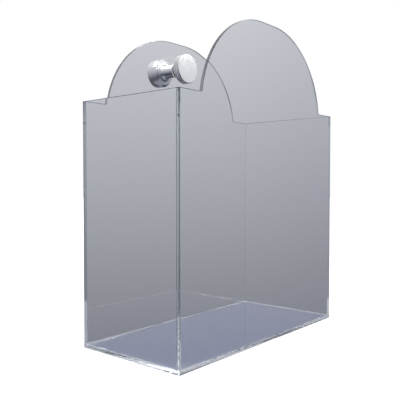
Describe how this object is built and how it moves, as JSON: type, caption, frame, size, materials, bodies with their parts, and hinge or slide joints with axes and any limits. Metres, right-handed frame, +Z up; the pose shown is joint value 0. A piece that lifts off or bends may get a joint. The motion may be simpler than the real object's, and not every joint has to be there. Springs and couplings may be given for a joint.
{
  "type": "magazine rack",
  "caption": "Clear open-topped magazine rack with arched front and back walls, hung on a wall stand-off whose knurled knob clamps the back wall.",
  "frame": {"origin": "middle of the underside of the box's floor", "axes": "+Z up, +Y towards the wall, +X along the wide side, to the right for someone facing the wall"},
  "size_m": [0.317, 0.1885, 0.381],
  "materials": {
    "clear_acrylic": "polished",
    "natural_nylon": "matte",
    "plated_steel": "satin",
    "polished_chrome": "polished",
    "knob_chrome": "satin"
  },
  "bodies": {
    "wall_mount": {"wall_plate": "plated_steel", "rosette": "polished_chrome", "grub_screw": "plated_steel", "post_screw": "plated_steel", "post": "polished_chrome", "stud": "plated_steel", "rear_washer": "natural_nylon"},
    "rack": {"floor_panel": "clear_acrylic", "front_panel": "clear_acrylic", "back_panel": "clear_acrylic", "left_side_panel": "clear_acrylic", "right_side_panel": "clear_acrylic", "hole_bush": "natural_nylon"},
    "washer": {"front_washer": "plated_steel"},
    "knob": {"knob": "knob_chrome"}
  },
  "joints": [
    {"name": "rack_swing", "type": "hinge", "parent": "wall_mount", "child": "rack", "pos_m": [0, 0.0735, 0.3455], "axis": [0, -1, 0], "continuous": true},
    {"name": "knob_travel", "type": "slide", "parent": "wall_mount", "child": "washer", "axis": [0, -1, 0], "range_m": [0, 0.0125]},
    {"name": "knob_turn", "type": "hinge", "parent": "washer", "child": "knob", "pos_m": [0, 0.06, 0.3455], "axis": [0, -1, 0], "range_deg": [0, 3600]}
  ],
  "couplings": [
    {"joint": "knob_turn", "follows": "knob_travel", "rad_per_m": 5026.5}
  ]
}
